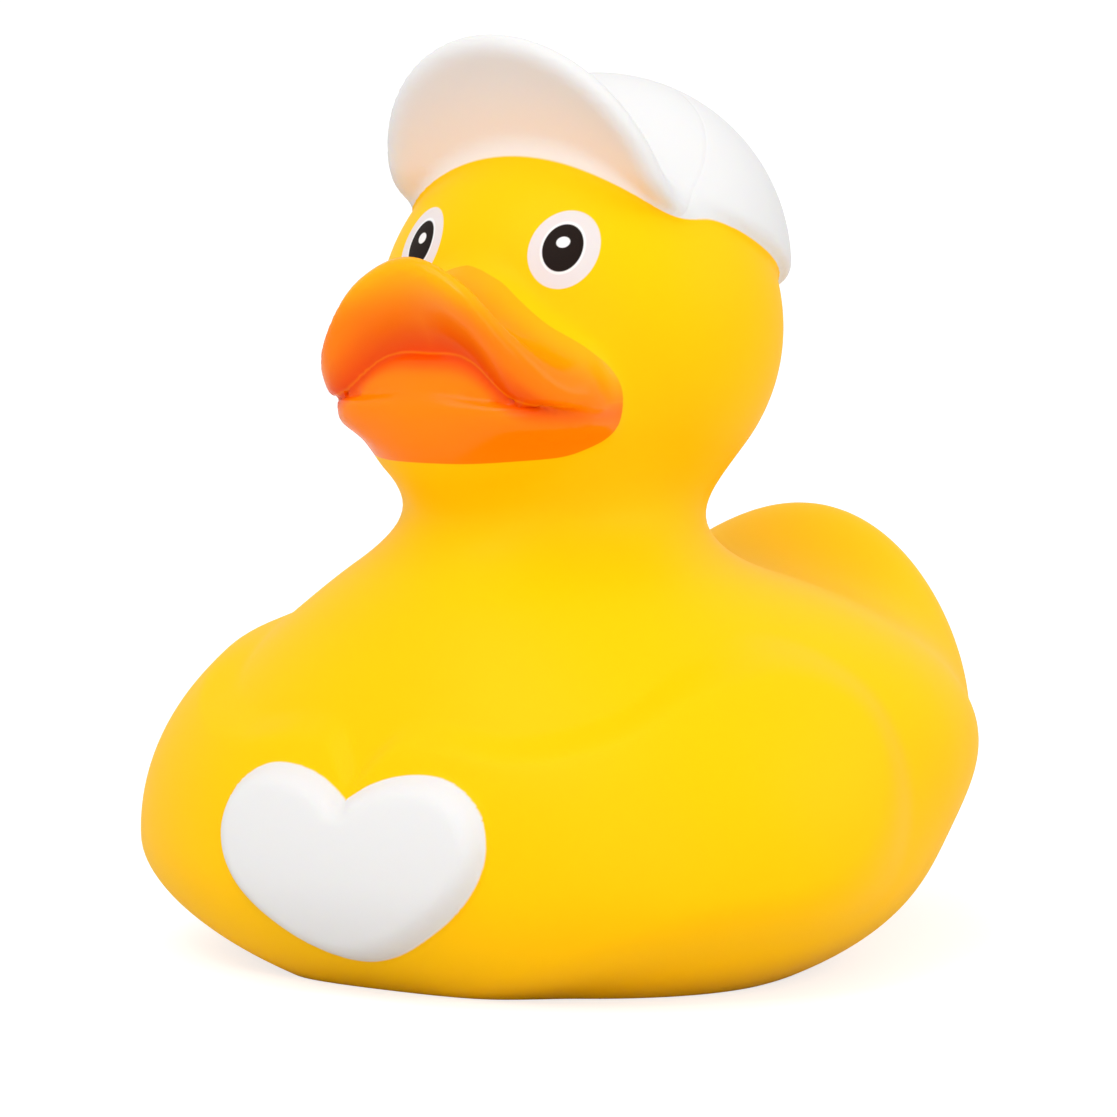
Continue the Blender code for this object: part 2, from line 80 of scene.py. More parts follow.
# Bill: seen from above its outline is a rounded box about FAN_Y
FAN_Y, BILL_HALF_WIDTH, BILL_LENGTH, BILL_SQUARENESS = -6.0 * MM, 13.2 * MM, 16.3 * MM, 3.4
# A closed profile at each of these angles from straight ahead: (out, up) in mm, out from the outline
FAN_ANGLES = (0, 20, 35, 50, 65, 80, 95)
BILL_PROFILES = (
    ((-13.0, 60.3), (-13.0, 59.6), (-12.0, 58.2), (-10.0, 56.0), (-8.0, 54.0), (-9.0, 53.0), (-12.0, 53.0)),
    ((-9.9, 60.5), (-10.2, 59.9), (-9.2, 58.4), (-6.4, 56.1), (-3.6, 54.1), (-4.0, 52.6), (-7.0, 52.6)),
    ((-5.3, 58.0), (-5.2, 57.4), (-4.5, 55.6), (-3.4, 53.8), (-2.0, 53.2), (-3.0, 52.2), (-6.0, 52.2)),
    ((-2.6, 60.3), (-2.6, 58.6), (-2.4, 55.2), (-1.9, 53.0), (-1.2, 52.4), (-2.4, 51.7), (-5.4, 51.7)),
    ((-1.0, 61.9), (-1.0, 59.6), (-1.0, 55.3), (-0.9, 52.3), (-0.5, 51.4), (-1.9, 51.1), (-4.9, 51.1)),
    ((0.0, 60.8), (0.0, 58.4), (0.0, 54.0), (0.0, 50.9), (-0.1, 50.4), (-1.5, 50.4), (-4.5, 50.4)),
    ((-1.2, 58.5), (-1.0, 56.2), (-0.5, 52.2), (-0.1, 50.0), (0.0, 49.9), (-1.35, 49.9), (-4.4, 49.9)),
    ((-3.6, 55.3), (-3.0, 54.1), (-1.3, 50.6), (-0.3, 49.6), (0.0, 49.6), (-1.3, 49.6), (-4.3, 49.6)),
    ((-4.0, 53.6), (-3.6, 53.0), (-1.9, 50.0), (-0.5, 49.4), (0.0, 49.4), (-1.3, 49.4), (-4.3, 49.4)),
    ((-3.4, 53.0), (-3.4, 52.6), (-2.3, 50.1), (-1.1, 49.3), (0.0, 49.2), (-1.3, 49.2), (-4.3, 49.2)),
    ((-2.8, 50.9), (-2.8, 50.8), (-2.3, 49.9), (-1.2, 49.2), (0.0, 49.1), (-1.3, 49.1), (-4.3, 49.1)),
    ((-3.1, 50.0), (-3.1, 49.9), (-2.5, 49.6), (-1.3, 49.1), (0.0, 49.0), (-1.3, 49.0), (-4.3, 49.0)),
    ((-2.5, 49.8), (-2.5, 49.7), (-2.1, 49.5), (-1.2, 49.0), (-0.1, 48.9), (-1.3, 48.9), (-4.3, 48.9)),
    ((-1.8, 49.0), (-1.8, 49.0), (-1.6, 48.9), (-1.1, 48.6), (-0.5, 48.6), (-1.4, 48.6), (-4.4, 48.6)),
    ((-2.2, 47.3), (-2.3, 47.2), (-2.0, 47.3), (-1.5, 47.2), (-0.9, 47.4), (-1.8, 47.4), (-4.8, 47.4)),
    ((-3.4, 45.5), (-3.8, 45.7), (-3.8, 46.0), (-3.4, 46.2), (-2.6, 46.6), (-3.2, 46.6), (-6.0, 46.6)),
    ((-7.0, 44.0), (-8.0, 44.2), (-8.0, 44.6), (-8.0, 45.0), (-7.0, 45.6), (-7.0, 45.8), (-9.0, 45.8)),
)
PROFILE_STEPS = 4
BILL_ROOM = (15 * MM, -25 * MM, -2 * MM, 40 * MM, 66 * MM)
# Outline of the orange paint, round the head: (degrees from straight ahead, height in mm)
BILL_PAINT = ((-25, 59.7), (0, 60.8), (25, 59.7), (37, 58.2), (50, 56.1), (62, 54.6), (69, 53.5), (75, 52.4),
              (79.6, 50.9), (81, 49.3), (80.6, 47.5), (76, 46.2), (68, 45.4), (56, 44.8), (36, 44.6),
              (18, 44.4), (0, 44.4), (-25, 44.4))
# Cap: a round crown cut off along a sloping edge, and a dished sheet turned up in front of it
CROWN_Y, CROWN_Z, CROWN_RADIUS, CROWN_FRONT = 7.1 * MM, 59.8 * MM, 17.15 * MM, 15.1 * MM
CAP_EDGE_Z, CAP_EDGE_SLOPE, CAP_EDGE_ROUND = 66.15 * MM, 0.43, 1.2 * MM
VISOR_Y, VISOR_Z, VISOR_TILT = -4.4 * MM, 70.4 * MM, 62.0
VISOR_FOOT, VISOR_HALF_WIDTH, VISOR_REACH = -4.0 * MM, 14.4 * MM, 15.4 * MM
VISOR_THICK, VISOR_ROUND, VISOR_DISH, VISOR_ARCH = 2.6 * MM, 2.2 * MM, 1.4 * MM, 110.0 * MM
VISOR_CURL_FROM, VISOR_CURL_RADIUS, VISOR_SINK, VISOR_DISH_TO = -1.0 * MM, 6.7 * MM, 9.0 * MM, 1.2
# Joins: widths of the soft folds
BILL_BLEND, CAP_BLEND, VISOR_BLEND = 2.0 * MM, 1.2 * MM, 1.6 * MM
# The orange's reach: mm for each degree of its outline, how far it spills past the bill, and how far back
PAINT_SCALE, PAINT_OVERLAP, PAINT_BACK_Y = 0.2 * MM, 0.2 * MM, -2.0 * MM
# Stand-in distances clear of a paint and outside the bill's room, and how many points to work on at once
FAR, NEARLY, BLOCK = 9 * MM, 3 * MM, 20000
# Eyes: where they sit, the white ring, the pupil and the white line round it, and the glint
EYE_Y = -9.7 * MM
EYE_X, EYE_Z, EYE_SHIFT, EYE_LEAN = 7.25 * MM, 62.2 * MM, 0.4 * MM, 0.1
RING_HALF_WIDTH, RING_HALF_HEIGHT = 3.02 * MM, 3.7 * MM
PUPIL_HALF_WIDTH, PUPIL_HALF_HEIGHT, PUPIL_UP = 1.72 * MM, 2.25 * MM, 0.17 * MM
PUPIL_LINE = 0.2 * MM
GLINT_HALF_WIDTH, GLINT_HALF_HEIGHT, GLINT_UP = 0.58 * MM, 0.52 * MM, 0.72 * MM

# Mesh: the grid, how its points settle on the surface, and how near a plane they snap to it
CELL = 0.55 * MM
GRID_LOW, GRID_HIGH = (-3 * MM, -36 * MM, -4 * MM), (42 * MM, 51 * MM, 84 * MM)
BLOCKS = 16
OUTSIDE = 5.0
SETTLE_ROUNDS, SLOPE_STEP, LEAST_SLOPE, LONGEST_MOVE = 3, 0.05 * MM, 0.1, 0.3 * MM
SNAP, SOLE_SNAP, MERGE = 0.15 * MM, 0.02 * MM, 0.001 * MM
CREASE = math.radians(60)

# Camera: where it stands round the duck, and the width of its view at the duck
AZIMUTH, ELEVATION, CAMERA_AWAY = math.radians(34.0), math.radians(5.76), 0.5
TARGET_Z, TARGET_RIGHT = 34.6 * MM, 0.6 * MM
LENS, SENSOR_WIDTH = 184.0, 36.0

# The bill's hollow: rows of the profiles at its rim and its web, and how far in mm its painted shade starts
# below the rim, less and less up to so many degrees round
RIM_TOP_ROW, WEB_TOP_ROW = 4, 8
SCOOP_BELOW_RIM, SCOOP_BELOW_EDGE, SCOOP_NARROWS = 3.6, 0.8, 50.0
# Its tints in mm: the painted shade of the hollow, deep red, comes in over the first two lengths and ends so
# far below the web, and a painted highlight runs as a pale line along the web's edge
SCOOP_FADE, INWARD_FADE, PAINTED_SHADE_FADE = 4.0, 0.8, 2.2
WEB_HIGHLIGHT_HALF_WIDTH, WEB_HIGHLIGHT_SOFT, WEB_HIGHLIGHT_SHARE = 0.08, 0.25, 0.3
# The thinner orange: so many mm inside the upper border, and only above this height
THIN_REACH, THIN_LOW, THIN_HIGH = 3.8, 48 * MM, 52 * MM
# The yellow head's reflected light, painted in peach under the peak: how far from the forehead and from the
# peak's outline it fades
REFLECTION_NEAR, REFLECTION_FAR, REFLECTION_RIM, REFLECTION_FULL = 1.0 * MM, 10.0 * MM, 0.99, 0.80
# How soft each paint's edge is, in mm
BILL_SOFT, HEART_SOFT, CAP_SOFT, EYE_SOFT, PUPIL_SOFT = 0.12, 0.16, 0.10, 0.12, 0.10
# The crown's seam lies where height less Y is SEAM_AT; its widths are in mm
SEAM_AT, SEAM_HALF_WIDTH, SEAM_SOFT = 66.0 * MM, 0.1, 0.4
SEAM_DEPTH, SEAM_STRENGTH, GRAIN_DEPTH, GRAIN_STRENGTH = 0.1 * MM, 0.5, 0.02 * MM, 0.25

# Vinyl: the skin's roughness, low and high in its grain, the glossier bill, and the light inside the skin
CLOUD_SCALE, GRAIN_SCALE = 60.0, 4500.0
SKIN_ROUGH_LOW, SKIN_ROUGH_HIGH, BILL_ROUGH, BILL_COAT, COAT_ROUGH = 0.42, 0.50, 0.24, 0.15, 0.22
SUBSURFACE_WEIGHT, SUBSURFACE_RADIUS, SUBSURFACE_SCALE = 0.12, (1.0, 0.5, 0.1), 3.0 * MM
SKIN_SPECULAR = 0.06

# Stage: the floor is darker where the camera sees it, and lifted there towards the backdrop's white
FLOOR_SIZE, FLOOR_GREY, FLOOR_SEEN_GREY, FLOOR_LIFT = 200.0, 0.75, 0.42, 0.72
FLOOR_ROUGH, FLOOR_SPECULAR = 0.9, 0.1
WORLD_STRENGTH, BACKDROP_STRENGTH = 0.82, 1.0
# Lamps: name, azimuth, elevation, distance, diameter, watts; all aim at this height over the origin
LAMP_AIM_Z = 40.0 * MM
LAMPS = (
    ("key", 0, 60, 1.2, 0.9, 5.0),
    ("front_fill", 40, 15, 1.4, 0.9, 2.8),
    ("side_fill", 115, 25, 1.4, 0.9, 3.6),
    ("sparkle", 10, 45, 1.2, 0.12, 1.0),
)


def egg(p, centre, low, high=None):
    """Near distance to an ellipsoid; low and high are the radii on the - and + side of each axis."""
    offset = p - np.array(centre)
    radii = np.array(low) if high is None else np.where(offset > 0, np.array(high), np.array(low))
    scaled = offset / radii
    reach = np.linalg.norm(scaled, axis=1)
    return reach * (reach - 1) / np.maximum(np.linalg.norm(scaled / radii, axis=1), TINY)


def union(a, b, blend):
    """Both forms, with a soft fold of this width where they meet."""
    near = np.maximum(blend - np.abs(a - b), 0)
    return np.minimum(a, b) - near * near / (4 * blend)


def common(a, b, blend):
    """What lies in both forms, with its edge rounded."""
    return -union(-a, -b, blend)


def turned(y, z, centre_y, centre_z, degrees):
    """(along, across): the Y and Z offsets turned about the X axis."""
    angle = np.radians(degrees)
    f, h = y - centre_y, z - centre_z
    return f * np.cos(angle) + h * np.sin(angle), -f * np.sin(angle) + h * np.cos(angle)


def smoothstep(t):
    """0 up to t = 0, 1 from t = 1 on, and a smooth rise between."""
    t = np.clip(t, 0, 1)
    return t * t * (3 - 2 * t)


def curve(points, at, level_start=False):
    """Height at each place of the smooth curve through (place, height) points, level past its ends."""
    xs, ys = np.array(points, float).T
    slopes = np.gradient(ys, xs)
    slopes[0] *= not level_start
    i = np.clip(np.searchsorted(xs, at) - 1, 0, len(xs) - 2)
    h = xs[i + 1] - xs[i]
    t = np.clip((at - xs[i]) / h, 0, 1)
    return ((1 + 2 * t) * (1 - t) ** 2 * ys[i] + t * (1 - t) ** 2 * h * slopes[i]
            + t * t * (3 - 2 * t) * ys[i + 1] - t * t * (1 - t) * h * slopes[i + 1])


def turn_round_body(p):
    """Degrees round the body from straight ahead, to either side."""
    return np.degrees(np.arctan2(np.abs(p[:, 0]), WING_FAN_Y - p[:, 1]))


def wing_edge(p):
    """Near distance to the wing's outline, measured on the flank: below zero on the wing."""
    turn, z = turn_round_body(p), p[:, 2]
    top = z - curve(WING_TOP, turn) * MM
    bottom = (curve(WING_BOTTOM, turn) * MM - z) * WING_BOTTOM_SLOPE
    rear = (turn - WING_REAR) * WING_REAR_SLOPE
    return common(common(top, bottom, WING_TIP_ROUND), rear, WING_ROUND)


def body(p):
    """Hull and back, with the wings raised on them."""
    hull = egg(p, (0, HULL_Y, HULL_Z), (HULL_HALF_WIDTH, HULL_FRONT, HULL_BELOW),
               (HULL_HALF_WIDTH, HULL_REAR, HULL_ABOVE))
    back = egg(p, (0, BACK_Y, BACK_Z), (BACK_HALF_WIDTH, BACK_FRONT, BACK_HALF_HEIGHT),
               (BACK_HALF_WIDTH, BACK_REAR, BACK_HALF_HEIGHT))
    whole = union(hull, back, BACK_BLEND)
    rise = WING_FRONT_SHARE + (1 - WING_FRONT_SHARE) * smoothstep(turn_round_body(p) / WING_FRONT_TURN)
    wing = WING_HEIGHT * rise * smoothstep(0.5 - wing_edge(p) / WING_SOFT)
    return whole - wing


def neck(p):
    return egg(p, (0, NECK_Y, NECK_Z), (NECK_RADIUS, NECK_RADIUS, NECK_HALF_HEIGHT))


def head(p):
    """The round of the head, and the throat that carries the bill."""
    ball = egg(p, (0, HEAD_Y, HEAD_Z), (HEAD_RADIUS, HEAD_RADIUS, HEAD_BELOW),
               (HEAD_RADIUS, HEAD_RADIUS, HEAD_ABOVE))
    throat = egg(p, (0, THROAT_Y, THROAT_Z), (THROAT_HALF_WIDTH, THROAT_HALF_LENGTH, THROAT_HALF_HEIGHT))
    return union(ball, throat, THROAT_BLEND)


def tail(p):
    """An upright egg that leans back."""
    x, y, z = p.T
    up, out = turned(z, y, TAIL_Z, TAIL_Y, TAIL_LEAN)
    return egg(np.stack([x, out, up], axis=1), (0, 0, 0), (TAIL_HALF_WIDTH, TAIL_HALF_THICK, TAIL_BELOW),
               (TAIL_HALF_WIDTH, TAIL_HALF_THICK, TAIL_ABOVE))


def flesh(p):
    """The duck without its heart, bill and cap."""
    torso = union(body(p), neck(p), NECK_BLEND)
    return union(union(torso, head(p), HEAD_BLEND), tail(p), TAIL_BLEND)


def spline_weights(corners):
    """Weights that turn a closed ring of corners into points along the smooth curve through them."""
    rows = []
    for corner in range(corners):
        for t in np.arange(PROFILE_STEPS) / PROFILE_STEPS:
            row = np.zeros(corners)
            for shift, weight in ((-1, -t + 2 * t * t - t ** 3), (0, 2 - 5 * t * t + 3 * t ** 3),
                                  (1, t + 4 * t * t - 3 * t ** 3), (2, t ** 3 - t * t)):
                row[(corner + shift) % corners] += weight / 2
            rows.append(row)
    return np.array(rows)


def ring_distance(across, up, ring):
    """Distance from each place to its own closed ring of points, below zero inside."""
    start_x, start_y = ring[..., 0], ring[..., 1]
    end_x, end_y = np.roll(start_x, -1, axis=-1), np.roll(start_y, -1, axis=-1)
    run, rise = end_x - start_x, end_y - start_y
    dx, dy = across[:, None] - start_x, up[:, None] - start_y
    t = np.clip((dx * run + dy * rise) / np.maximum(run ** 2 + rise ** 2, TINY), 0, 1)
    nearest = np.hypot(dx - t * run, dy - t * rise).min(axis=1)
    spans = (start_y > up[:, None]) != (end_y > up[:, None])
    crossed = spans & (dx * rise * np.sign(rise) < dy * run * np.sign(rise))
    return np.where(crossed.sum(axis=1) % 2 == 1, -nearest, nearest)


def smooth_ring(corners):
    """Points along the smooth closed curve through the corners."""
    return spline_weights(len(corners)) @ np.array(corners, float)


def heart_edge(p):
    """Distance outside the heart's outline, seen from the front."""
    x, y, z = np.abs(p[:, 0]), p[:, 1], p[:, 2]
    distance = np.full(len(p), HEART_ROOM_X)
    near = np.nonzero((x < HEART_ROOM_X) & (z < HEART_ROOM_Z) & (y < HULL_Y))[0]
    distance[near] = ring_distance(x[near], z[near], smooth_ring(HEART_OUTLINE)[None] * MM)
    return distance


def heart_relief(p):
    """How far the heart stands out of the chest, round along its edge."""
    inside = np.clip(-heart_edge(p) / HEART_ROUND, 0, 1)
    return HEART_HEIGHT * inside * (2 - inside)


def fan(p):
    """(degrees round from straight ahead, distance outside the bill's outline seen from above)."""
    x, ahead = np.abs(p[:, 0]), FAN_Y - p[:, 1]
    reach = (x / BILL_HALF_WIDTH) ** BILL_SQUARENESS + (np.abs(ahead) / BILL_LENGTH) ** BILL_SQUARENESS
    outline = np.hypot(x, ahead) * np.maximum(reach, TINY) ** (-1 / BILL_SQUARENESS)
    return np.degrees(np.arctan2(x, ahead)), np.hypot(x, ahead) - outline


def along_fan(row, k, turn):
    """One row of the profiles, out (k = 0) or up (k = 1), at any angle of the fan."""
    return curve([(angle, corner[k]) for angle, corner in zip(FAN_ANGLES, row)], turn, True)


def bill(p):
    """Distance outside the bill; further off than its room, only how far that room is."""
    half_width, front, rear, low, high = BILL_ROOM
    x, y, z = p.T
    beyond = np.max([np.abs(x) - half_width, front - y, y - rear, low - z, z - high], axis=0)
    distance = np.maximum(beyond, 0) + NEARLY
    near = np.nonzero(beyond < 0)[0]
    weights = spline_weights(len(BILL_PROFILES))
    for part in np.array_split(near, len(near) // BLOCK + 1):
        turn, out = fan(p[part])
        corners = np.array([[along_fan(row, k, turn) for k in (0, 1)] for row in BILL_PROFILES])
        ring = np.einsum("mk,kcn->nmc", weights, corners) * MM
        distance[part] = ring_distance(out, z[part], ring)
    return distance


def paint_border(p):
    """Distance outside the outline of the orange paint, measured round the head."""
    turn, _ = fan(p)
    border = smooth_ring(BILL_PAINT) * (PAINT_SCALE, MM)
    return ring_distance(turn * PAINT_SCALE, p[:, 2], border[None])


def bill_paint(p):
    """Distance outside the orange paint, which covers the whole of the bill."""
    on_bill = np.minimum(paint_border(p), bill(p) - PAINT_OVERLAP)
    return np.where(p[:, 1] < PAINT_BACK_Y, on_bill, FAR)


def crown(p):
    """The round of the cap, above its sloping lower edge."""
    ball = egg(p, (0, CROWN_Y, CROWN_Z), (CROWN_RADIUS, CROWN_FRONT, CROWN_RADIUS),
               (CROWN_RADIUS, CROWN_RADIUS, CROWN_RADIUS))
    x, y, z = p.T
    below = (CAP_EDGE_Z - CAP_EDGE_SLOPE * y - z) / np.hypot(1, CAP_EDGE_SLOPE)
    return common(ball, below, CAP_EDGE_ROUND)


def peak_places(p):
    """Places on the peak: (along it, across its sheet, share of the way to its outline, sag to the sides)."""
    along, across = turned(-p[:, 1], p[:, 2], -VISOR_Y, VISOR_Z, VISOR_TILT)
    reach = np.hypot(p[:, 0] / VISOR_HALF_WIDTH, np.maximum(along - VISOR_FOOT, 0) / VISOR_REACH)
    return along, across, reach, p[:, 0] ** 2 / (2 * VISOR_ARCH)


def visor(p):
    """The peak: a dished sheet with a round rim, curling back along the cap's lower edge at its foot."""
    along, across, reach, sag = peak_places(p)
    middle = VISOR_THICK / 2 - sag - VISOR_DISH * np.minimum(reach, VISOR_DISH_TO) ** 4
    middle = middle + np.minimum(along - VISOR_CURL_FROM, 0) ** 2 / (2 * VISOR_CURL_RADIUS)
    sheet = np.abs(across - middle) - VISOR_THICK / 2
    outline = np.maximum((reach - 1) * VISOR_HALF_WIDTH, -along - VISOR_SINK)
    return common(sheet, outline, VISOR_ROUND)


def cap(p):
    return union(crown(p), visor(p), VISOR_BLEND)


def bare(p):
    """The duck without its cap."""
    return union(flesh(p) - heart_relief(p), bill(p), BILL_BLEND)


def duck(p):
    """The whole duck: near distance to its skin, below zero inside."""
    return union(bare(p), cap(p), CAP_BLEND)


def eye_places(p):
    """(across, up) from the middle of the nearer eye over the head's curve; both sit a bit to one side."""
    up = (p[:, 2] - EYE_Z) * np.hypot(1, (EYE_Z - HEAD_Z) / (HEAD_Y - EYE_Y))
    across = (np.abs(p[:, 0] - EYE_SHIFT) - EYE_X) * np.hypot(1, EYE_X / (HEAD_Y - EYE_Y))
    return across + EYE_LEAN * up, up


# The skin


def skin_quads(low, high):
    """Points and four-sided faces of the duck's surface, from its distances on a grid."""
    axes = [np.arange(a, b, CELL) for a, b in zip(low, high)]
    places = np.stack(np.meshgrid(*axes, indexing="ij"), axis=-1).reshape(-1, 3)
    distances = np.concatenate([duck(block) for block in np.array_split(places, BLOCKS)])
    grid = openvdb.FloatGrid(OUTSIDE)
    grid.copyFromArray((distances.reshape([len(axis) for axis in axes]) / CELL).astype(np.float32))
    points, quads = grid.convertToQuads(0.0)
    return low + points * CELL, quads


def settled(points):
    """The points moved onto the duck's surface, each along its own slope."""
    steps = SLOPE_STEP * np.eye(3)
    for _ in range(SETTLE_ROUNDS):
        slope = np.stack([duck(points + s) - duck(points - s) for s in steps], axis=1) / (2 * SLOPE_STEP)
        move = duck(points) / np.maximum((slope ** 2).sum(axis=1), LEAST_SLOPE)
        points = points - np.clip(move, -LONGEST_MOVE, LONGEST_MOVE)[:, None] * slope
    return points


def cut(skin, normal):
    """Cuts away what lies behind the plane through the origin."""
    bmesh.ops.bisect_plane(skin, geom=skin.verts[:] + skin.edges[:] + skin.faces[:], dist=MERGE,
                           plane_co=(0, 0, 0), plane_no=normal, clear_inner=True)


def points_of(mesh):
    """The mesh's points, one row each."""
    flat = np.empty(len(mesh.vertices) * 3)
    mesh.vertices.foreach_get("co", flat)
    return flat.reshape(-1, 3)


def skin_mesh():
    """The duck's fine skin: one half, cut flat at the sole, mirrored and closed."""
    points, quads = skin_quads(np.array(GRID_LOW), np.array(GRID_HIGH))
    points = settled(points)
    points[np.abs(points[:, 0]) < SNAP, 0] = 0
    points[np.abs(points[:, 2]) < SOLE_SNAP, 2] = 0
    half = bpy.data.meshes.new("half")
    half.from_pydata(points.tolist(), [], quads[:, ::-1].tolist())
    skin = bmesh.new()
    skin.from_mesh(half)
    cut(skin, (1, 0, 0))
    cut(skin, (0, 0, 1))
    bmesh.ops.mirror(skin, geom=skin.verts[:] + skin.edges[:] + skin.faces[:], axis="X", merge_dist=MERGE)
    bmesh.ops.contextual_create(skin, geom=[edge for edge in skin.edges if edge.is_boundary])
    bmesh.ops.recalc_face_normals(skin, faces=skin.faces[:])
    mesh = bpy.data.meshes.new("duck_skin")
    skin.to_mesh(mesh)
    skin.free()
    mesh.shade_smooth()
    mesh.set_sharp_from_angle(angle=CREASE)
    return mesh


def hollow(p):
    """In mm: depth below the start of the bill's hollow, height above its web, depth inside its outline."""
    turn, out = fan(p)
    rim_top, web_top = (along_fan(BILL_PROFILES[row], 1, turn) for row in (RIM_TOP_ROW, WEB_TOP_ROW))
    start = rim_top - SCOOP_BELOW_EDGE - SCOOP_BELOW_RIM * np.clip(1 - turn / SCOOP_NARROWS, 0, 1)
    height = p[:, 2] / MM
    return start - height, height - web_top, np.where(p[:, 1] < FAN_Y, -out / MM, -1)


def painted_reflection_under_peak(p):
    """Share of the yellow head's painted reflection: 1 under the cap's peak beside the forehead, falling to 0
    towards the rim and on the cap's top.
    """
    _, across, reach, sag = peak_places(p)
    near = smoothstep((REFLECTION_FAR - bare(p)) / (REFLECTION_FAR - REFLECTION_NEAR))
    inner = smoothstep((REFLECTION_RIM - reach) / (REFLECTION_RIM - REFLECTION_FULL))
    return np.where(across < VISOR_THICK / 2 - sag, near * inner, 0)


def keep_paint_places(mesh):
    """Stores on each point where it lies on each paint and on the painted shade, highlight and reflection,
    lengths in mm, for the material to read.
    """
    p = points_of(mesh)
    ahead = p[:, 1] < HULL_Y
    eye_across, eye_up = eye_places(p)
    scoop, above_web, inward = hollow(p)
    places = {
        "bill_paint": bill_paint(p) / MM,
        "paint_border": paint_border(p) / MM,
        "cap_paint": (cap(p) - bare(p)) / (2 * MM),
        "heart_paint": heart_edge(p) / MM,
        "eye_across": np.where(ahead, eye_across, FAR) / MM,
        "eye_up": np.where(ahead, eye_up, FAR) / MM,
        "scoop": scoop,
        "above_web": above_web,
        "inward": inward,
        "painted_reflection": painted_reflection_under_peak(p),
    }
    for name, values in places.items():
        mesh.attributes.new(name, "FLOAT", "POINT").data.foreach_set("value", values)


# Materials


class Nodes:
    """Short ways to add and join the nodes of one material."""

    def __init__(self, name):
        self.material = bpy.data.materials.new(name)
        self.material.use_nodes = True
        self.tree = self.material.node_tree
        self.shader = self.tree.nodes["Principled BSDF"]

    def add(self, kind, inputs=(), **settings):
        """A new node, with these settings and these values or sockets on its inputs."""
        node = self.tree.nodes.new(kind)
        for key, value in settings.items():
            setattr(node, key, value)
        for key, value in dict(inputs).items():
            self.join(value, node.inputs[key])
        return node

    def join(self, value, socket):
        """Links a socket to an input, or sets the input to a plain value."""
        if isinstance(value, bpy.types.NodeSocket):
            self.tree.links.new(value, socket)
        else:
            socket.default_value = value

    def value(self, name):
        """What is stored on the mesh under this name."""
        return self.add("ShaderNodeAttribute", attribute_name=name).outputs["Fac"]

    def math(self, operation, a, b=0.0, c=0.0):
        return self.add("ShaderNodeMath", {0: a, 1: b, 2: c}, operation=operation).outputs[0]

    def ramp(self, value, start, end):
        """0 where the value is at the start, rising smoothly to 1 at the end."""
        node = self.add("ShaderNodeMapRange", {"Value": value, "From Min": start, "From Max": end})
        node.interpolation_type = "SMOOTHSTEP"
        return node.outputs["Result"]

    def inside(self, distance, soft):
        """1 where the distance is below zero, falling to 0 over a soft edge this wide, in mm."""
        return self.ramp(distance, soft / 2, -soft / 2)

    def oval(self, half_width, half_height, up=0.0):
        """Distance in mm outside an oval on the eye."""
        across = self.math("DIVIDE", self.value("eye_across"), half_width / MM)
        lifted = self.math("SUBTRACT", self.value("eye_up"), up / MM)
        high = self.math("DIVIDE", lifted, half_height / MM)
        squares = self.math("ADD", self.math("MULTIPLY", across, across), self.math("MULTIPLY", high, high))
        reach = self.math("SUBTRACT", self.math("SQRT", squares), 1.0)
        return self.math("MULTIPLY", reach, half_width / MM)

    def mix(self, factor, a, b):
        """Colour a where the factor is 0, b where it is 1."""
        node = self.add("ShaderNodeMix", data_type="RGBA")
        for socket, value in zip((0, 6, 7), (factor, a, b)):
            self.join(value, node.inputs[socket])
        return node.outputs[2]

    def blend(self, factor, a, b):
        """Number a where the factor is 0, b where it is 1."""
        return self.add("ShaderNodeMix", {0: factor, 2: a, 3: b}, data_type="FLOAT").outputs[0]


# Colours
YELLOW, YELLOW_DEEP = (1.0, 0.55, 0.0, 1), (1.0, 0.52, 0.0, 1)
# The deep red is painted shade in the bill's hollow; the thin orange also colours a painted highlight along
# the web's edge
ORANGE, ORANGE_THIN_AND_HIGHLIGHT, ORANGE_PAINTED_SHADE = (0.96, 0.21, 0.0, 1), (1.0, 0.39, 0.0, 1), (0.82, 0.065, 0.0, 1)
# The peach is a painted reflection of the yellow head, under the cap's peak
WHITE, PAINTED_REFLECTION = (0.725, 0.72, 0.717, 1), (0.84, 0.74, 0.66, 1)
RING_WHITE, LINE_WHITE = (0.72, 0.66, 0.65, 1), (0.80, 0.79, 0.79, 1)
BLACK = (0.012, 0.006, 0.004, 1)


def bill_colour(n, height):
    """Orange, yellower beside its upper border, with deep red painted shade in the hollow and a pale painted
    highlight along the web's edge.
    """
    beside_border = n.ramp(n.value("paint_border"), -THIN_REACH, 0.0)
    thin = n.math("MULTIPLY", beside_border, n.ramp(height, THIN_LOW, THIN_HIGH))
    colour = n.mix(thin, ORANGE, ORANGE_THIN_AND_HIGHLIGHT)
    inward = n.ramp(n.value("inward"), 0.0, INWARD_FADE)
    above_web = n.value("above_web")
    # Painted shade: deep red darkening the bill's hollow towards the web
    painted_shade = n.math("MULTIPLY", n.ramp(n.value("scoop"), 0.0, SCOOP_FADE), n.ramp(above_web, -PAINTED_SHADE_FADE, 0.0))
    colour = n.mix(n.math("MULTIPLY", painted_shade, inward), colour, ORANGE_PAINTED_SHADE)
    # Painted highlight: a pale thin line along the web's upper edge, in the thin orange
    off_web_highlight = n.math("SUBTRACT", n.math("ABSOLUTE", above_web), WEB_HIGHLIGHT_HALF_WIDTH)
    line = n.math("MULTIPLY", n.inside(off_web_highlight, WEB_HIGHLIGHT_SOFT), inward)
    return n.mix(n.math("MULTIPLY", line, WEB_HIGHLIGHT_SHARE), colour, ORANGE_THIN_AND_HIGHLIGHT)


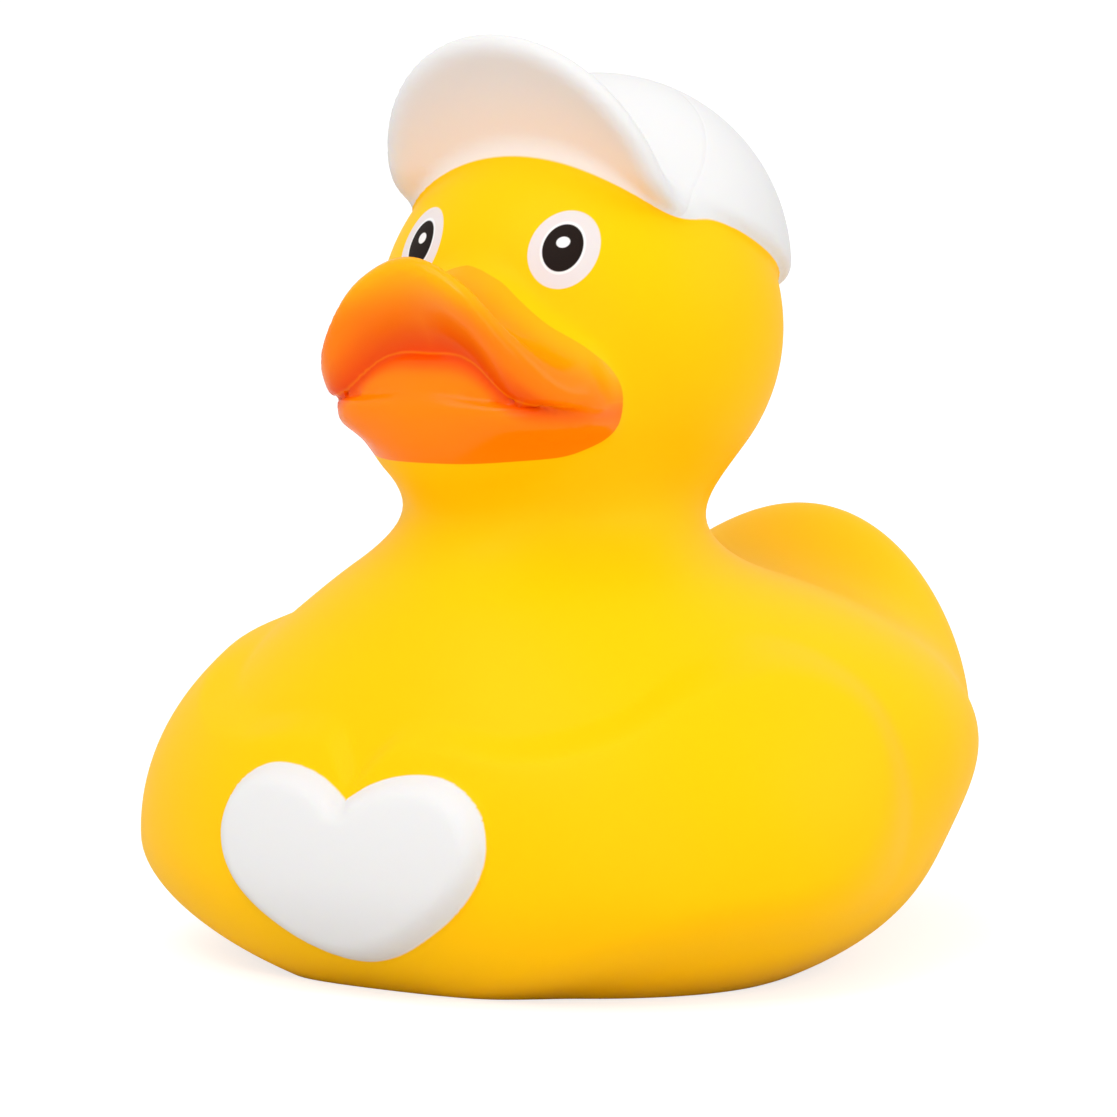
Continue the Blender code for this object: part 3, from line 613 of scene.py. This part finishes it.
def seam_normal(n, place, grain):
    """The fine grain of the vinyl, and a shallow seam across the crown behind the peak."""
    parts = n.add("ShaderNodeSeparateXYZ", {"Vector": place}).outputs
    ahead = n.math("SUBTRACT", n.math("SUBTRACT", parts["Z"], parts["Y"]), SEAM_AT)
    off_seam = n.math("ABSOLUTE", n.math("MULTIPLY", ahead, math.sqrt(0.5) / MM))
    seam = n.inside(n.math("SUBTRACT", off_seam, SEAM_HALF_WIDTH), SEAM_SOFT)
    seam = n.math("MULTIPLY", seam, n.inside(n.value("cap_paint"), CAP_SOFT))
    groove = n.add("ShaderNodeBump", {"Height": seam, "Strength": SEAM_STRENGTH, "Distance": -SEAM_DEPTH})
    fine = n.add("ShaderNodeBump", {"Height": grain, "Strength": GRAIN_STRENGTH, "Distance": GRAIN_DEPTH,
                                    "Normal": groove.outputs["Normal"]})
    return fine.outputs["Normal"]


def eye_colour(n, colour):
    """The printed eye over the colour of the head."""
    ring = n.oval(RING_HALF_WIDTH, RING_HALF_HEIGHT)
    pupil = n.oval(PUPIL_HALF_WIDTH, PUPIL_HALF_HEIGHT, PUPIL_UP)
    line = n.math("SUBTRACT", pupil, PUPIL_LINE / MM)
    glint = n.oval(GLINT_HALF_WIDTH, GLINT_HALF_HEIGHT, GLINT_UP)
    colour = n.mix(n.inside(ring, EYE_SOFT), colour, RING_WHITE)
    colour = n.mix(n.inside(line, EYE_SOFT), colour, LINE_WHITE)
    colour = n.mix(n.inside(pupil, PUPIL_SOFT), colour, BLACK)
    return n.mix(n.inside(glint, EYE_SOFT), colour, LINE_WHITE)


def duck_material():
    """Yellow vinyl with the orange, the two whites and the printed eyes on it, painted shade and a painted
    highlight on the bill, and a painted reflection under the peak.
    """
    n = Nodes("painted_vinyl")
    place = n.add("ShaderNodeNewGeometry").outputs["Position"]
    height = n.add("ShaderNodeSeparateXYZ", {"Vector": place}).outputs["Z"]
    cloud = n.add("ShaderNodeTexNoise", {"Vector": place, "Scale": CLOUD_SCALE, "Detail": 3.0}).outputs["Fac"]
    grain = n.add("ShaderNodeTexNoise", {"Vector": place, "Scale": GRAIN_SCALE, "Detail": 2.0}).outputs["Fac"]
    on_bill = n.inside(n.value("bill_paint"), BILL_SOFT)
    colour = n.mix(cloud, YELLOW, YELLOW_DEEP)
    colour = n.mix(on_bill, colour, bill_colour(n, height))
    colour = n.mix(n.inside(n.value("heart_paint"), HEART_SOFT), colour, WHITE)
    colour = eye_colour(n, colour)
    # The cap's white, with the yellow head's painted reflection under the peak
    cap_white_and_reflection = n.mix(n.value("painted_reflection"), WHITE, PAINTED_REFLECTION)
    skin_rough = n.blend(grain, SKIN_ROUGH_LOW, SKIN_ROUGH_HIGH)
    looks = {
        "Base Color": n.mix(n.inside(n.value("cap_paint"), CAP_SOFT), colour, cap_white_and_reflection),
        "Roughness": n.blend(on_bill, skin_rough, BILL_ROUGH),
        "Normal": seam_normal(n, place, grain),
        "Coat Weight": n.math("MULTIPLY", on_bill, BILL_COAT),
        "Coat Roughness": COAT_ROUGH,
        "Subsurface Weight": SUBSURFACE_WEIGHT,
        "Subsurface Radius": SUBSURFACE_RADIUS,
        "Subsurface Scale": SUBSURFACE_SCALE,
        "Specular IOR Level": SKIN_SPECULAR,
    }
    for name, value in looks.items():
        n.join(value, n.shader.inputs[name])
    return n.material


# Stage


def floor_material():
    """Pale and matt. Seen straight by the camera it is lifted towards the white of the backdrop."""
    n = Nodes("pale_floor")
    seen = n.add("ShaderNodeLightPath").outputs["Is Camera Ray"]
    grey, seen_grey = ((level, level, level, 1) for level in (FLOOR_GREY, FLOOR_SEEN_GREY))
    looks = {
        "Base Color": n.mix(seen, grey, seen_grey),
        "Roughness": FLOOR_ROUGH,
        "Specular IOR Level": FLOOR_SPECULAR,
        "Emission Color": (1, 1, 1, 1),
        "Emission Strength": n.math("MULTIPLY", seen, FLOOR_LIFT),
    }
    for name, value in looks.items():
        n.join(value, n.shader.inputs[name])
    return n.material


def add_floor():
    bpy.ops.mesh.primitive_plane_add(size=FLOOR_SIZE)
    floor = bpy.context.object
    floor.name = "floor"
    floor.data.materials.append(floor_material())


def add_world():
    """White light from all round, and a white backdrop where the camera looks past the floor."""
    world = bpy.data.worlds.new("studio")
    bpy.context.scene.world = world
    world.use_nodes = True
    tree = world.node_tree
    tree.nodes.clear()
    light, backdrop = (tree.nodes.new("ShaderNodeBackground") for _ in range(2))
    for node, strength in ((light, WORLD_STRENGTH), (backdrop, BACKDROP_STRENGTH)):
        node.inputs["Color"].default_value = (1, 1, 1, 1)
        node.inputs["Strength"].default_value = strength
    path, mixed, out = (tree.nodes.new(k) for k in ("ShaderNodeLightPath", "ShaderNodeMixShader",
                                                     "ShaderNodeOutputWorld"))
    tree.links.new(path.outputs["Is Camera Ray"], mixed.inputs[0])
    tree.links.new(light.outputs[0], mixed.inputs[1])
    tree.links.new(backdrop.outputs[0], mixed.inputs[2])
    tree.links.new(mixed.outputs[0], out.inputs["Surface"])


def direction(azimuth, elevation):
    """Unit vector from the duck to what stands at these angles, the azimuth counted from its front."""
    return Vector((math.sin(azimuth) * math.cos(elevation), -math.cos(azimuth) * math.cos(elevation),
                   math.sin(elevation)))


def add_looking(name, data, target, towards, away):
    """Adds a lamp or camera so far away from its target in this direction, looking at the target."""
    obj = bpy.data.objects.new(name, data)
    obj.location = target + towards * away
    obj.rotation_mode = "QUATERNION"
    obj.rotation_quaternion = (-towards).to_track_quat("-Z", "Y")
    bpy.context.scene.collection.objects.link(obj)
    return obj


def add_lamp(name, azimuth, elevation, away, size, watts):
    lamp = bpy.data.lights.new(name, "AREA")
    lamp.shape = "DISK"
    lamp.size, lamp.energy = size, watts
    towards = direction(math.radians(azimuth), math.radians(elevation))
    add_looking(name, lamp, Vector((0, 0, LAMP_AIM_Z)), towards, away)


def add_camera():
    data = bpy.data.cameras.new("camera")
    data.lens, data.sensor_width = LENS, SENSOR_WIDTH
    right = Vector((math.cos(AZIMUTH), math.sin(AZIMUTH), 0))
    target = Vector((0, 0, TARGET_Z)) + right * TARGET_RIGHT
    camera = add_looking("camera", data, target, direction(AZIMUTH, ELEVATION), CAMERA_AWAY)
    bpy.context.scene.camera = camera


def build():
    """The camera, the dressed duck, the floor and the light."""
    add_camera()
    mesh = skin_mesh()
    keep_paint_places(mesh)
    mesh.materials.append(duck_material())
    skin = bpy.data.objects.new("duck_skin", mesh)
    bpy.context.scene.collection.objects.link(skin)
    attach(skin, "root")
    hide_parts("duck")
    add_floor()
    add_world()
    for lamp in LAMPS:
        add_lamp(*lamp)
    bpy.context.scene.view_settings.view_transform = "Standard"


build()
